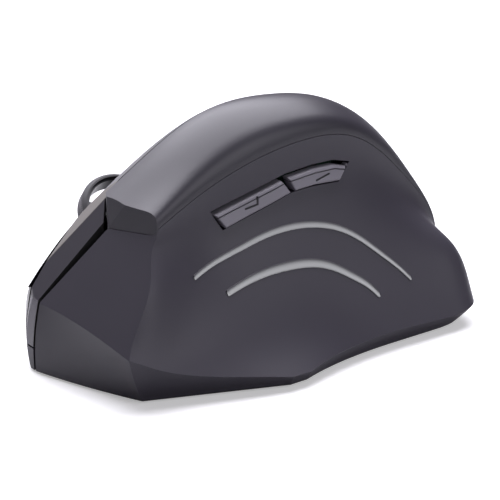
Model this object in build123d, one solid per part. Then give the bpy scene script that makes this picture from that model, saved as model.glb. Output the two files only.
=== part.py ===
from build123d import *
import os
from functools import cache
from math import cos, hypot, pi, radians, sin

os.makedirs("parts", exist_ok=True)

# Driving dimensions, in millimetres.
# +Y is the nose, -X the thumb side, +X the finger side, +Z up, and the desk is at zero.
half_length = 62.0
half_width = 39.0
height = 66.0
wall = 2.0
overrun = 4.0

# Clearances.
seam_gap = 0.15
ridge_gap = 0.55
click_gap = 0.9
corner_gap = 2.4
floor_gap = 0.55
button_gap = 0.45
slide_fit = 0.3
running_fit = 0.06
seat = 0.02
far = 2 * half_length

# Base and feet.
foot_height = 0.6
base_thickness = 2.4
rim_fit = 0.15
glide_thickness = 0.8
base_top = foot_height + base_thickness

# Click panels and the strip between them.
click_tail_share = -0.13
click_lip = 5.0
strip_half = 6.0
nose_split_share = 0.42
nose_end_share = 0.66
click_floor_shares = ((1.1, 0.1), (0.8, 0.12), (0.3, 0.16), (-0.3, 0.22))
# The line between the click panels, as shares of the half length ahead of the wheel and of the height
# up the finger slope from it.
divide_shares = ((0.72, -0.3), (0.47, -0.15), (0.32, -0.068), (0.2, -0.012), (0.08, 0.0), (-0.3, 0.004),
                 (-0.85, 0.006))
stud_radius = 1.2

# Scroll wheel. Its axle follows the finger slope, tilted by wheel_tilt from upright.
wheel_place_shares = (0.471, 0.421, 0.547)
wheel_tilt = 50.0
wheel_radius = 12.0
tyre_thickness = 1.4
wheel_width = 6.0
hub_ring = 0.6
hub_boss_radius = 2.4
spoke_count = 3
spoke_turn = 60.0
spoke_width = 1.4
axle_radius = 1.25
wheel_slot_gap = 0.8
wheel_press = 0.5
tyre_chamfer = 0.9
hub_half = 2.1
spoke_depth = 2.0
encoder_thickness = 4.0
encoder_length = 7.0
encoder_top = 2.4

# Wheel carrier, its cheeks and the boards behind the click panels.
cheek_gap = 0.6
cheek_thickness = 1.6
cheek_length = 5.0
cheek_top = 1.85
board_thickness = 1.2
finger_board_depth = 10.5
finger_board_front = 14.2
finger_board_back = 22.0
finger_board_up = 18.0
board_notch = (9.5, 11.5)
finger_board_down = 16.0
bracket_thickness = 2.0

# Micro switches lie flat on their boards.
switch_length = 12.8
switch_width = 5.8
switch_height = 6.2
plunger_radius = 0.9
plunger_rise = 0.5
switch_reach = 0.6
click_reach = 0.3
left_place = (-1.5, 14.5)
right_place = (0.7, -11.5)
middle_place = (-12.5, -9.0)
lip_thickness = 1.2
lip_seat = 3.0
board_edge = 0.5
bracket_reach = 14.0
front_reach = 5.0
rib_foot = 12.0
rib_depth = 4.5
dpi_place = -18.5
dpi_long = 8.0
dpi_wide = 5.0
dpi_rise = 0.6
dpi_reach = 0.6

# Side buttons, as shares of the half length and height, seen from the thumb side.
forward_shares = ((0.26, 0.645), (0.218, 0.576), (-0.14, 0.662), (-0.106, 0.727))
back_shares = ((-0.129, 0.732), (-0.155, 0.665), (-0.265, 0.671), (-0.41, 0.665), (-0.477, 0.724),
               (-0.394, 0.744), (-0.276, 0.745))
button_rise = 0.9
button_taper = 5.0
button_seat = 0.2
button_reach = 6.5
forward_mark_shares = ((0.13, 0.612), (0.058, 0.638), (0.056, 0.672))
back_mark_shares = ((-0.27, 0.688), (-0.355, 0.715), (-0.35, 0.685))
mark_depth = 0.3
mark_width = 0.5
tact_size = 5.0
tact_height = 3.5
thumb_board_x = -3.4
thumb_board_shares = ((0.305, 0.545), (0.265, 0.72), (-0.13, 0.79), (-0.515, 0.78), (-0.515, 0.62),
                      (-0.13, 0.59))
thumb_frame_shares = ((0.325, 0.53), (0.28, 0.74), (-0.13, 0.815), (-0.535, 0.8), (-0.535, 0.605),
                      (-0.13, 0.575))
thumb_post_shares = ((0.245, 0.695), (0.275, 0.57), (-0.48, 0.765), (-0.48, 0.645))
thumb_post_radius = 1.5
thumb_frame_thickness = 1.4

# Accent strips, seen from the thumb side: the line of each, and its width at the middle and ends.
upper_strip_shares = ((0.427, 0.433), (0.285, 0.467), (0.158, 0.492), (0.055, 0.514), (-0.052, 0.527),
                      (-0.158, 0.527), (-0.237, 0.517), (-0.365, 0.479), (-0.458, 0.424),
                      (-0.544, 0.352), (-0.611, 0.291), (-0.653, 0.242))
lower_strip_shares = ((0.285, 0.35), (0.161, 0.376), (0.06, 0.389), (-0.021, 0.392), (-0.11, 0.389),
                      (-0.166, 0.382), (-0.266, 0.352), (-0.355, 0.302), (-0.424, 0.253),
                      (-0.456, 0.215))
upper_strip_width = 1.4
lower_strip_width = 1.9
strip_end_share = 0.6
strip_rise = 0.25
strip_depth = 1.0

# The seam between the thumb half and the finger half, seen from above, with the gap on its finger side.
ridge_seam_shares = ((0.285, 1.3), (0.285, 0.908), (0.082, 0.642), (0.22, 0.597), (0.213, 0.32),
                     (0.195, 0.065), (0.164, -0.225), (0.128, -0.485), (0.1, -0.677), (0.077, -0.839),
                     (0.05, -0.952), (0.0, -1.3))
front_points = 2
crest_front_shares = ((1.2, 0.42), (0.642, 0.596), (0.572, 0.6125))
crest_end_share = (-1.3, -0.5)

# Screws and their bosses: two stand under the palm shell and three under the thumb shell.
thumb_boss_shares = ((-0.475, 0.55), (-0.6, -0.22), (-0.56, -0.74))
palm_boss_shares = ((0.66, -0.3), (0.67, -0.74))
boss_radius = 3.0
screw_radius = 1.25
screw_head_radius = 2.4
screw_head_height = 1.3
screw_length = 9.0
screw_slot = 0.6
screw_sink = 0.7

# Main board, its posts and what it carries.
board_place_shares = (-0.147, 0.242)
board_width = 17.5
board_length = 54.0
board_lift = 3.0
post_radius = 2.0
board_post_inset = 2.6
board_screw_radius = 0.9
board_screw_head = 1.7
board_screw_head_height = 1.2
board_screw_length = 4.0
post_floor = 0.7
sensor_place_shares = (-0.13, 0.2)
sensor_size = (9.9, 9.0, 3.0)
aperture_size = (9.0, 6.0)
aperture_step = 0.5
lens_size = (15.0, 11.0)
lens_rise = 2.9
chip_place_shares = (-0.15, 0.0)
chip_size = (7.0, 7.0, 1.0)
radio_place_shares = (-0.15, 0.44)
radio_size = (12.0, 14.0, 1.8)
switch_place_shares = (-0.15, -0.1)
power_size = (4.4, 9.0, 2.6)
knob_size = (3.0, 3.6)
knob_flange = (4.2, 6.0, 0.25)
knob_travel = 3.5
knob_recess = 0.5

# Battery bay for one AA cell lying along the mouse, with a door that slides to unlatch.
cell_radius = 7.25
cell_length = 50.5
cell_nub_radius = 2.75
cell_nub_length = 1.0
cell_gap = 0.3
cell_place_shares = (0.333, -0.4)
cradle_wall = 1.5
cradle_height = 8.0
spring_length = 2.5
spring_radius = 3.6
contact_thickness = 0.4
contact_size = 8.0
door_width = 19.6
door_length = 54.0
door_thickness = 1.2
door_slide = 4.5
grip_count = 3
grip_size = (10.0, 1.0, 0.4)
grip_pitch = 2.2

# Wireless receiver, stored in a bay under the base.
receiver_place_shares = (-0.436, -0.484)
receiver_size = (14.4, 7.0, 5.6)
receiver_length = 19.0
receiver_plug = (12.0, 12.0, 4.5)
receiver_gap = 0.4
bay_wall = 1.2
bay_sink = 0.7

# Glide feet: place in shares, then length and width.
glide_shares = ((0.05, 0.73), (-0.66, 0.16), (0.75, 0.2), (-0.1, -0.885), (0.74, -0.55))
glide_sizes = ((18.0, 5.0), (6.0, 18.0), (5.0, 16.0), (24.0, 4.0), (5.0, 12.0))

# Cross sections of the arched body, from nose to tail, as shares of the half length, half width and
# height: station, thumb wall from the desk up to the crest seam, ridge, finger side down to the desk.
section_shares = [
    (1.065, ((-0.795, 0), (-0.615, 0.12), (-0.435, 0.275), (-0.31, 0.395)), (0.23, 0.385),
     ((0.335, 0.302), (0.45, 0.177), (0.545, 0))),
    (0.805, ((-0.87, 0), (-0.63, 0.22), (-0.44, 0.385), (-0.34, 0.515)), (0.23, 0.575),
     ((0.422, 0.469), (0.607, 0.277), (0.73, 0))),
    (0.55, ((-0.975, 0), (-0.67, 0.19), (-0.413, 0.5), (-0.312, 0.64)), (0.22, 0.742),
     ((0.443, 0.653), (0.673, 0.426), (0.89, 0))),
    (0.29, ((-1.077, 0), (-0.73, 0.175), (-0.41, 0.44), (-0.255, 0.74)), (0.21, 0.894),
     ((0.43, 0.812), (0.718, 0.53), (0.96, 0))),
    (0.065, ((-1.1, 0), (-0.755, 0.167), (-0.397, 0.47), (-0.25, 0.814)), (0.192, 0.985),
     ((0.43, 0.894), (0.744, 0.576), (1.0, 0))),
    (-0.225, ((-0.987, 0), (-0.705, 0.182), (-0.39, 0.5), (-0.244, 0.862)), (0.154, 1.006),
     ((0.41, 0.914), (0.744, 0.583), (1.013, 0))),
    (-0.485, ((-0.936, 0), (-0.692, 0.19), (-0.39, 0.5), (-0.23, 0.841)), (0.128, 0.962),
     ((0.372, 0.864), (0.705, 0.545), (1.0, 0))),
    (-0.677, ((-0.923, 0), (-0.705, 0.182), (-0.41, 0.455), (-0.213, 0.742)), (0.103, 0.864),
     ((0.333, 0.773), (0.64, 0.47), (0.962, 0))),
    (-0.839, ((-0.91, 0), (-0.73, 0.167), (-0.449, 0.394), (-0.21, 0.598)), (0.077, 0.705),
     ((0.282, 0.636), (0.551, 0.379), (0.872, 0))),
    (-0.952, ((-0.88, 0), (-0.735, 0.148), (-0.48, 0.342), (-0.22, 0.478)), (0.05, 0.53),
     ((0.218, 0.48), (0.436, 0.29), (0.692, 0))),
    (-1.008, ((-0.75, 0), (-0.665, 0.125), (-0.47, 0.278), (-0.23, 0.385)), (0.026, 0.414),
     ((0.154, 0.377), (0.308, 0.226), (0.487, 0))),
    (-1.04, ((-0.51, 0), (-0.45, 0.08), (-0.34, 0.175), (-0.19, 0.235)), (0.0, 0.25),
     ((0.08, 0.225), (0.16, 0.13), (0.26, 0))),
]
# The crest rises from the seam to the ridge along a quarter ellipse, through this share of both axes.
crest_mid_share = (0.293, 0.707)
# How fast the crest falls away where it meets the finger side, per unit across.
ridge_fall = 0.12

# The skirt leans outward from a footprint on the desk, past a belly, to a wider rim. Each outline is
# given as shares of the half sizes, from the nose along the finger side, the tail and the thumb side back
# to the front, and its last point is the middle of the front.
skirt_rise = 22.0
belly_rise = 8.0
foot_shares = [
    (0.287, 0.945), (0.35, 0.945), (0.615, 0.815), (0.795, 0.621), (0.91, 0.403), (0.974, 0.129),
    (0.979, -0.242), (0.923, -0.581), (0.769, -0.823), (0.513, -0.944), (0.103, -0.992),
    (-0.308, -0.987), (-0.551, -0.965), (-0.679, -0.903), (-0.738, -0.75), (-0.762, -0.376),
    (-0.821, -0.113), (-0.897, 0.056), (-0.903, 0.145), (-0.551, 0.739), (-0.13, 0.858),
]
belly_shares = [
    (0.286, 0.945), (0.4, 0.945), (0.648, 0.832), (0.842, 0.636), (0.961, 0.412), (1.025, 0.132),
    (1.031, -0.248), (0.974, -0.604), (0.82, -0.864), (0.55, -1.0), (0.112, -1.056),
    (-0.327, -1.05), (-0.61, -1.035), (-0.83, -0.97), (-0.885, -0.753), (-0.872, -0.368),
    (-0.942, -0.107), (-1.047, 0.071), (-1.05, 0.177), (-0.6, 0.8), (-0.15, 0.862),
]
rim_shares = [
    (0.285, 0.903), (0.364, 0.908), (0.69, 0.825), (0.923, 0.655), (1.051, 0.427), (1.115, 0.137),
    (1.121, -0.258), (1.064, -0.645), (0.91, -0.935), (0.615, -1.097), (0.128, -1.169),
    (-0.359, -1.161), (-0.692, -1.129), (-1.0, -1.032), (-1.128, -0.758), (-1.064, -0.355),
    (-1.154, -0.097), (-1.308, 0.097), (-1.308, 0.234), (-0.656, 0.858), (-0.186, 0.866),
]
skirt_corners = (1, 17, 18, 19)

# Flat facets at the front: one point of each in shares, and the way that it faces. The first ones cut
# the nose, and the crest stands proud of them behind steeper ones.
nose_facet_shares = [
    ((0.285, 0.908, 0.303), (-0.2, 0.784, 0.588)),
    ((0.255, 0.616, 0.663), (0.163, 0.713, 0.682)),
]
crest_facet_shares = [
    ((0.082, 0.642, 0.596), (-0.12, 0.952, 0.28)),
    ((0.082, 0.642, 0.596), (-0.282, 0.943, 0.178)),
]


def inset_points(points, amount):
    """Move each point of a closed outline, drawn clockwise, inward by amount."""
    moved = []
    count = len(points)
    for i, (x, y) in enumerate(points):
        x0, y0 = points[i - 1]
        x1, y1 = points[(i + 1) % count]
        d0 = hypot(x - x0, y - y0)
        d1 = hypot(x1 - x, y1 - y)
        n0 = ((y - y0) / d0, (x0 - x) / d0)
        n1 = ((y1 - y) / d1, (x - x1) / d1)
        bisector = (n0[0] + n1[0], n0[1] + n1[1])
        scale = 2 / (bisector[0] ** 2 + bisector[1] ** 2)
        moved.append((x + bisector[0] * scale * amount, y + bisector[1] * scale * amount))
    return moved


def section_face(row, inset):
    station, wall_shares, ridge_share, finger_shares = row
    y = station * half_length
    if station < 0:
        y += inset * (station / section_shares[-1][0]) ** 4
    up = [(x * half_width, z * height) for x, z in wall_shares]
    ridge = (ridge_share[0] * half_width, ridge_share[1] * height)
    seam = up[-1]
    mid = (seam[0] + (ridge[0] - seam[0]) * crest_mid_share[0],
           seam[1] + (ridge[1] - seam[1]) * crest_mid_share[1])
    down = [(x * half_width, z * height) for x, z in finger_shares]
    deep = -2 * overrun
    ends = [(down[-1][0], deep), (up[0][0], deep)]
    points = inset_points(up + [mid, ridge] + down + ends, inset)
    points = [(x, y, z) for x, z in points]
    count = len(up)
    wall_edge = Spline(*points[:count], tangents=[Vector(*points[1]) - Vector(*points[0]), Vector(0, 0, 1)])
    crest_edge = Spline(*points[count - 1:count + 2], tangents=[Vector(0, 0, 1), Vector(1, 0, -ridge_fall)])
    finger_edge = Spline(*points[count + 1:-2])
    legs = Polyline(points[-3], points[-2], points[-1], points[0])
    return make_face([wall_edge, crest_edge, finger_edge] + list(legs.edges()))


def arched_body(inset):
    return loft([section_face(row, inset) for row in section_shares])


def skirt_wire(shares, z, inset):
    points = [(x * half_width, y * half_length) for x, y in shares]
    points = [(x, y, z) for x, y in inset_points(points, inset)]
    first, near, far, front = skirt_corners
    edges = [Edge.make_line(points[0], points[first])]
    edges.append(Edge.make_spline([Vector(*p) for p in points[first:near + 1]]))
    edges.append(Edge.make_line(points[near], points[far]))
    edges.append(Edge.make_line(points[far], points[front]))
    edges.append(Edge.make_spline([Vector(*p) for p in (*points[front:], points[0])]))
    return Face(Wire(edges))


def skirt(inset):
    levels = ((foot_shares, 0), (belly_shares, belly_rise), (rim_shares, skirt_rise))
    return loft([skirt_wire(shares, rise, inset) for shares, rise in levels])


def cut_facets(body, shares, inset):
    for (x, y, z), normal in shares:
        face_point = Vector(x * half_width, y * half_length, z * height) - Vector(*normal) * inset
        body = split(body, bisect_by=Plane(face_point, z_dir=normal), keep=Keep.BOTTOM)
    return body


@cache
def envelope(inset):
    """The outer shape of the mouse, drawn in by inset all round but for its flat underside."""
    above = Pos(0, 0, skirt_rise) * Box(4 * half_width, 4 * half_length, 2 * height,
                                        align=(Align.CENTER, Align.CENTER, Align.MIN))
    body = arched_body(inset) & (skirt(inset) + above)
    crest = cut_facets(body & ridge_zone(False, (-inset,)), crest_facet_shares, inset)
    return cut_facets(body, nose_facet_shares, inset) + crest


def plan(share):
    return share[0] * half_width, share[1] * half_length


def side(share):
    return share[0] * half_length, share[1] * height


def skin(rise, depth):
    """The layer of the body from rise above its surface to depth below it."""
    return envelope(-rise) - envelope(depth)


def slab(low, high):
    return Pos(0, 0, low) * Box(2 * far, 2 * far, high - low, align=(Align.CENTER, Align.CENTER, Align.MIN))


def block(size, x, y, low):
    """A block that stands at a place, with its foot at low."""
    return Pos(x, y, low) * Box(*size, align=(Align.CENTER, Align.CENTER, Align.MIN))


def post(radius, x, y, low, high):
    return Pos(x, y, low) * Cylinder(radius, high - low, align=(Align.CENTER, Align.CENTER, Align.MIN))


def main_solid(shape):
    return max(shape.solids(), key=lambda solid: solid.volume)


def prism_across(points, start=None, end=None, smooth=0):
    """A prism along X over an outline in Y and Z. Its first points make one curve where smooth is set."""
    start = -far if start is None else start
    end = far if end is None else end
    corners = [Vector(start, y, z) for y, z in points]
    if smooth:
        edges = [Edge.make_spline(corners[:smooth])]
        edges += list(Polyline(*corners[smooth - 1:], corners[0]).edges())
    else:
        edges = list(Polyline(*corners, corners[0]).edges())
    return extrude(Face(Wire(edges)), amount=end - start, dir=(1, 0, 0))


def grown(points, amount):
    """A closed outline moved outward by amount, whichever way round it is drawn."""
    area = sum(points[i - 1][0] * p[1] - p[0] * points[i - 1][1] for i, p in enumerate(points))
    return inset_points(points, amount if area > 0 else -amount)


def side_plug(points, start, taper):
    """A plug that leaves the thumb side at start, narrowing outward by taper."""
    local = [(-y, z) for y, z in points]
    area = sum(local[i - 1][0] * p[1] - p[0] * local[i - 1][1] for i, p in enumerate(local))
    local = local if area > 0 else local[::-1]
    plane = Plane((start, 0, 0), x_dir=(0, -1, 0), z_dir=(-1, 0, 0))
    return extrude(plane * Polygon(*local, align=None), amount=button_reach, taper=taper)


def ribbon(points, middle, end_share):
    """Both edges of a line with a width, which tapers from the middle to a share of it at the ends."""
    upper = []
    lower = []
    last = len(points) - 1
    for i, (y, z) in enumerate(points):
        y0, z0 = points[max(i - 1, 0)]
        y1, z1 = points[min(i + 1, last)]
        length = hypot(y1 - y0, z1 - z0)
        half = middle / 2 * (end_share + (1 - end_share) * sin(pi * i / last))
        across = ((z0 - z1) / length * half, (y1 - y0) / length * half)
        upper.append(Vector(-far, y + across[0], z + across[1]))
        lower.append(Vector(-far, y - across[0], z - across[1]))
    return upper, lower


def ribbon_prism(points, middle, end_share=1.0, curved=True):
    upper, lower = ribbon(points, middle, end_share)
    if curved:
        (y0, z0), (y1, z1) = points[0], points[-1]
        run0 = (upper[0] - lower[0]).length / 2
        run1 = (upper[-1] - lower[-1]).length / 2
        ahead = (Vector(-far, y0, z0) - Vector(-far, *points[1])).normalized() * run0
        behind = (Vector(-far, y1, z1) - Vector(-far, *points[-2])).normalized() * run1
        edges = [Edge.make_spline(upper), Edge.make_spline(lower),
                 Edge.make_three_point_arc(upper[0], Vector(-far, y0, z0) + ahead, lower[0]),
                 Edge.make_three_point_arc(upper[-1], Vector(-far, y1, z1) + behind, lower[-1])]
        outline = Wire(edges)
    else:
        outline = Wire(Polyline(*upper, *lower[::-1], upper[0]).edges())
    return extrude(Face(outline), amount=far, dir=(1, 0, 0))


def ridge_zone(finger_side, gaps=(0, 0, 0)):
    """One side of the ridge seam. The gaps open it at the front, at its corner and along the ridge."""
    points = [plan(p) for p in ridge_seam_shares]
    shifted = []
    for i, (x, y) in enumerate(points):
        shifted.append((x + gaps[min(max(i - front_points + 1, 0), len(gaps) - 1)], y))
    edge = far if finger_side else -far
    shifted += [(edge, points[-1][1]), (edge, points[0][1])]
    outline = Polyline(*[(x, y, -overrun) for x, y in shifted], (*shifted[0], -overrun))
    return extrude(make_face(outline.edges()), amount=2 * height, dir=(0, 0, 1))


def crest_zone(shift):
    """Everything above the seam between the thumb shell and the crest cover, moved up by shift."""
    rows = [row for row in section_shares if row[0] < crest_front_shares[-1][0]]
    points = [side(p) for p in crest_front_shares] + [side((row[0], row[1][-1][1])) for row in rows]
    points.append(side(crest_end_share))
    points = [(y, z + shift) for y, z in points]
    front = len(crest_front_shares)
    top = 2 * height
    lead = [Vector(-far, *p) for p in points[:front + 1]]
    seam = [Vector(-far, *p) for p in points[front:-1]]
    rest = [seam[-1], Vector(-far, *points[-1]), Vector(-far, points[-1][0], top),
            Vector(-far, points[0][0], top), lead[0]]
    edges = list(Polyline(*lead).edges()) + [Edge.make_spline(seam)] + list(Polyline(*rest).edges())
    return extrude(Face(Wire(edges)), amount=2 * far, dir=(1, 0, 0))


def above_curve(shares, shift):
    """Everything on the finger side above a curve seen from the side, moved up by shift."""
    points = [(y, z + shift) for y, z in map(side, shares)]
    top = 2 * height
    corners = [(points[-1][0], top), (points[0][0], top)]
    return prism_across(points + corners, 0, far, smooth=len(points))


def ahead_of(y):
    return prism_across([(y, -overrun), (far, -overrun), (far, 2 * height), (y, 2 * height)])


# Finger frame: local X runs forward, local Y up the slope and local Z out of the finger side.
wheel_x, wheel_y = plan(wheel_place_shares)
wheel_z = wheel_place_shares[2] * height
slope_out = Vector(sin(radians(wheel_tilt)), 0, cos(radians(wheel_tilt)))
slope = Plane((wheel_x, wheel_y, wheel_z), x_dir=(0, 1, 0), z_dir=slope_out)


def on_slope(shape):
    return slope.location * shape


def slope_block(along, up, out):
    """A block in the finger frame, from its limits along, up the slope and out of it."""
    size = (along[1] - along[0], up[1] - up[0], out[1] - out[0])
    centre = ((along[0] + along[1]) / 2, (up[0] + up[1]) / 2, (out[0] + out[1]) / 2)
    return on_slope(Pos(*centre) * Box(*size))


def slope_pin(radius, along, up, low, high):
    return on_slope(post(radius, along, up, low, high))


def slope_axle(radius, up_low, up_high, along=0.0, out=0.0):
    """A cylinder along the wheel's axis."""
    pin = Pos(along, (up_low + up_high) / 2, out) * Rot(90, 0, 0) * Cylinder(radius, up_high - up_low)
    return on_slope(pin)


def up_slope_from(shift):
    """Everything up the finger slope from the line between the click panels, moved up by shift."""
    line = [Vector(x * half_length, z * height + shift, -far) for x, z in divide_shares]
    corners = [Vector(line[-1].X, far, -far), Vector(line[0].X, far, -far)]
    edges = [Edge.make_spline(line)] + list(Polyline(line[-1], *corners, line[0]).edges())
    return on_slope(extrude(Face(Wire(edges)), amount=2 * far, dir=(0, 0, 1)))


def nose_zone(gap):
    """The nose, which the left click panel takes whole, with a gap all round."""
    nose_x, nose_y = plan((nose_split_share, nose_end_share))
    beyond = Box(far, 2 * far, 4 * height, align=(Align.MIN, Align.CENTER, Align.CENTER))
    return ahead_of(nose_y - gap) - Pos(nose_x + gap, 0, 0) * beyond


# Shells.
outer = envelope(0)
inner = envelope(wall)
shell = (outer - inner) & slab(foot_height, 2 * height)
thumb_half = shell & ridge_zone(False)
thumb_shell = thumb_half - crest_zone(-seam_gap)
crest_cover = main_solid(thumb_half & crest_zone(0))

click_tail = click_tail_share * half_length
click_gaps = (click_gap, corner_gap, ridge_gap)
clicks = ahead_of(click_tail) & above_curve(click_floor_shares, 0)
click_half = shell & ridge_zone(True, click_gaps) & clicks
left_zone = up_slope_from(strip_half)
left_click_button = (click_half & left_zone) + (click_half & nose_zone(0))
beside_nose = click_half - nose_zone(click_gap)
right_click_button = beside_nose - up_slope_from(-strip_half)
half_strip_zone = strip_half - slide_fit
centre_strip = beside_nose & (up_slope_from(-half_strip_zone) - up_slope_from(half_strip_zone))
palm_zone = ahead_of(click_tail - seam_gap) & above_curve(click_floor_shares, -floor_gap)
palm_shell = (shell & ridge_zone(True, (click_gap, click_gap, seam_gap))) - palm_zone


# Scroll wheel.
hub_radius = wheel_radius - tyre_thickness
half_wheel = wheel_width / 2
cheek_in = half_wheel + cheek_gap
cheek_out = cheek_in + cheek_thickness
encoder_in = cheek_out + cheek_gap
encoder_out = encoder_in + encoder_thickness
tyre = Rot(90, 0, 0) * Cylinder(wheel_radius, wheel_width)
tyre = chamfer(tyre.edges().filter_by(GeomType.CIRCLE), tyre_chamfer)
wheel_tyre = on_slope(tyre) - slope_axle(hub_radius, -wheel_width, wheel_width)
spoke_length = hub_radius - hub_ring / 2
wheel_hub = slope_axle(hub_radius, -hub_half, hub_half)
wheel_hub -= slope_axle(hub_radius - hub_ring, -wheel_width, wheel_width)
wheel_hub += slope_axle(hub_boss_radius, -hub_half, hub_half)
for i in range(spoke_count):
    spoke = Rot(0, spoke_turn + i * 360 / spoke_count, 0) * Pos(0, 0, spoke_length / 2)
    wheel_hub += on_slope(spoke * Box(spoke_width, spoke_depth, spoke_length))
wheel_hub += slope_axle(axle_radius, -cheek_out, encoder_out)

# Carrier that holds the wheel between two cheeks and lets it press.
bar_top = -(wheel_radius + cheek_gap + wheel_press)
bar_low = bar_top - cheek_thickness
half_cheek = cheek_length / 2
carrier = slope_block((-half_cheek, half_cheek), (-cheek_out, cheek_out), (bar_low, bar_top))
for low, high in ((-cheek_out, -cheek_in), (cheek_in, cheek_out)):
    carrier += slope_block((-half_cheek, half_cheek), (low, high), (bar_low, cheek_top))
board_top = -finger_board_depth
switch_top = board_top + switch_height
plunger_top = switch_top + plunger_rise
lug_low = plunger_top + switch_reach
carrier += slope_block((middle_place[0] - plunger_radius, half_cheek),
                       (middle_place[1] - plunger_radius, -cheek_in), (lug_low, lug_low + cheek_thickness))
wheel_carrier = carrier - slope_axle(axle_radius + running_fit, -wheel_width, wheel_width)

# Finger board and the bracket that carries it.
slot_long = wheel_radius + wheel_slot_gap
slot_wide = cheek_out + wheel_slot_gap
board_low = board_top - board_thickness
board_corners = [(-finger_board_back, -finger_board_down), (finger_board_front, -finger_board_down),
                 (finger_board_front, finger_board_up - board_notch[1]),
                 (finger_board_front - board_notch[0], finger_board_up),
                 (-finger_board_back, finger_board_up)]
finger_board = on_slope(Pos(0, 0, board_low) * extrude(Polygon(*board_corners, align=None), board_thickness))
finger_board -= slope_block((-slot_long, slot_long), (-slot_wide, slot_wide), (-far, 0))


def on_slope_point(along, up, out):
    spot = on_slope(Pos(along, up, out)).position
    return spot.X, spot.Z


def rib(along, reach):
    """An upright sheet under the finger board, with its foot on the base plate."""
    top_x, top_z = on_slope_point(0, reach, board_low)
    low_x, low_z = on_slope_point(0, -bracket_reach, board_low)
    y = wheel_y + along
    corners = [(top_x, top_z), (low_x, low_z), (low_x, base_top), (low_x - rib_foot, base_top),
               (low_x - rib_foot, low_z), (top_x - rib_depth, top_z - rib_depth)]
    outline = Polyline(*[(x, y, z) for x, z in corners], (corners[0][0], y, corners[0][1]))
    return extrude(make_face(outline.edges()), amount=bracket_thickness, dir=(0, 1, 0))


rib_back = -finger_board_back + board_edge
rib_front = finger_board_front - bracket_thickness - board_edge
under_board = (board_low - bracket_thickness, board_low)
finger_bracket = rib(rib_back, bracket_reach) + rib(rib_front, front_reach)
finger_bracket += slope_block((rib_back, rib_front + bracket_thickness),
                              (-bracket_reach, -slot_wide - slide_fit), under_board)
finger_bracket += slope_block((rib_back, front_reach), (slot_wide + slide_fit, bracket_reach), under_board)


def lying_switch(along, up):
    body = slope_block((along - switch_length / 2, along + switch_length / 2),
                       (up - switch_width / 2, up + switch_width / 2), (board_top, switch_top))
    return body + slope_pin(plunger_radius, along, up, switch_top, plunger_top)


left_switch = lying_switch(*left_place)
right_switch = lying_switch(*right_place)
middle_switch = lying_switch(*middle_place)
half_encoder = encoder_length / 2
bore = axle_radius + cheek_gap / 2
wheel_encoder = slope_block((-half_encoder, half_encoder), (encoder_in, encoder_out),
                            (board_top, encoder_top))
wheel_encoder -= slope_axle(bore, 0, far) + slope_axle(bore, 0, far, out=-wheel_press)

# Studs that reach from the click panels down to their switches.
stud_low = plunger_top + click_reach
under_skin = envelope(wall / 2)
left_click_button += slope_pin(stud_radius, *left_place, stud_low, far) & under_skin
right_click_button += slope_pin(stud_radius, *right_place, stud_low, far) & under_skin

# Lips at the tail of each click panel, which hook under the palm shell.
lip_top = wall + slide_fit
lip_skin = envelope(lip_top) - envelope(lip_top + lip_thickness)
lip_bridge = envelope(wall / 2) - envelope(lip_top + lip_thickness)
lip_side = ridge_zone(True, (click_gap, click_gap, click_gap))
lip_front = ahead_of(click_tail + lip_seat)
lip = lip_skin & lip_side & (ahead_of(click_tail - click_lip) - lip_front)
lip += lip_bridge & lip_side & (ahead_of(click_tail) - lip_front)
left_click_button += lip & left_zone
right_click_button += (lip & above_curve(click_floor_shares, 0)) - up_slope_from(-strip_half)

# Openings for the wheel, for the cheeks of its carrier and for the dpi button.
opening_half = half_wheel + wheel_slot_gap
wheel_opening = slope_block((-slot_long, slot_long), (-opening_half, opening_half), (-half_wheel, far))
wheel_opening += slope_block((-half_cheek - cheek_gap, half_cheek + cheek_gap),
                             (-cheek_out - cheek_gap, cheek_out + cheek_gap),
                             (-half_wheel, cheek_top + cheek_gap))
left_click_button -= wheel_opening
right_click_button -= wheel_opening


def dpi_column(gap):
    half_long = dpi_long / 2 + gap
    half_wide = dpi_wide / 2 + gap
    return slope_block((dpi_place - half_long, dpi_place + half_long), (-half_wide, half_wide), (0, far))


centre_strip = main_solid(centre_strip - wheel_opening - dpi_column(slide_fit))
dpi_button = (envelope(-dpi_rise) - envelope(wall)) & dpi_column(0)
tact_low = board_top + tact_height
dpi_button += slope_pin(stud_radius, dpi_place, 0, tact_low + plunger_rise + dpi_reach, far) & under_skin
half_tact = tact_size / 2
dpi_switch = slope_block((dpi_place - half_tact, dpi_place + half_tact), (-half_tact, half_tact),
                         (board_top, tact_low))
dpi_switch += slope_pin(plunger_radius, dpi_place, 0, tact_low, tact_low + plunger_rise)

# Side buttons with their switches, board and frame.
stem_end = thumb_board_x - tact_height - plunger_rise - switch_reach - slide_fit / 2
forward_outline = [side(p) for p in forward_shares]
back_outline = [side(p) for p in back_shares]


def side_button(outline, mark_shares):
    plug = side_plug(grown(outline, button_seat), stem_end, button_taper)
    mark = ribbon_prism([side(p) for p in mark_shares], mark_width, curved=False)
    return (envelope(-button_rise) & plug) - (mark - envelope(mark_depth - button_rise))


def centre_of(outline):
    return sum(p[0] for p in outline) / len(outline), sum(p[1] for p in outline) / len(outline)


def tact_switch(outline):
    y, z = centre_of(outline)
    body = Pos(thumb_board_x - tact_height / 2, y, z) * Box(tact_height, tact_size, tact_size)
    plunger = Pos(thumb_board_x - tact_height - plunger_rise / 2, y, z) * Rot(0, 90, 0)
    return body + plunger * Cylinder(plunger_radius, plunger_rise)


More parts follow.
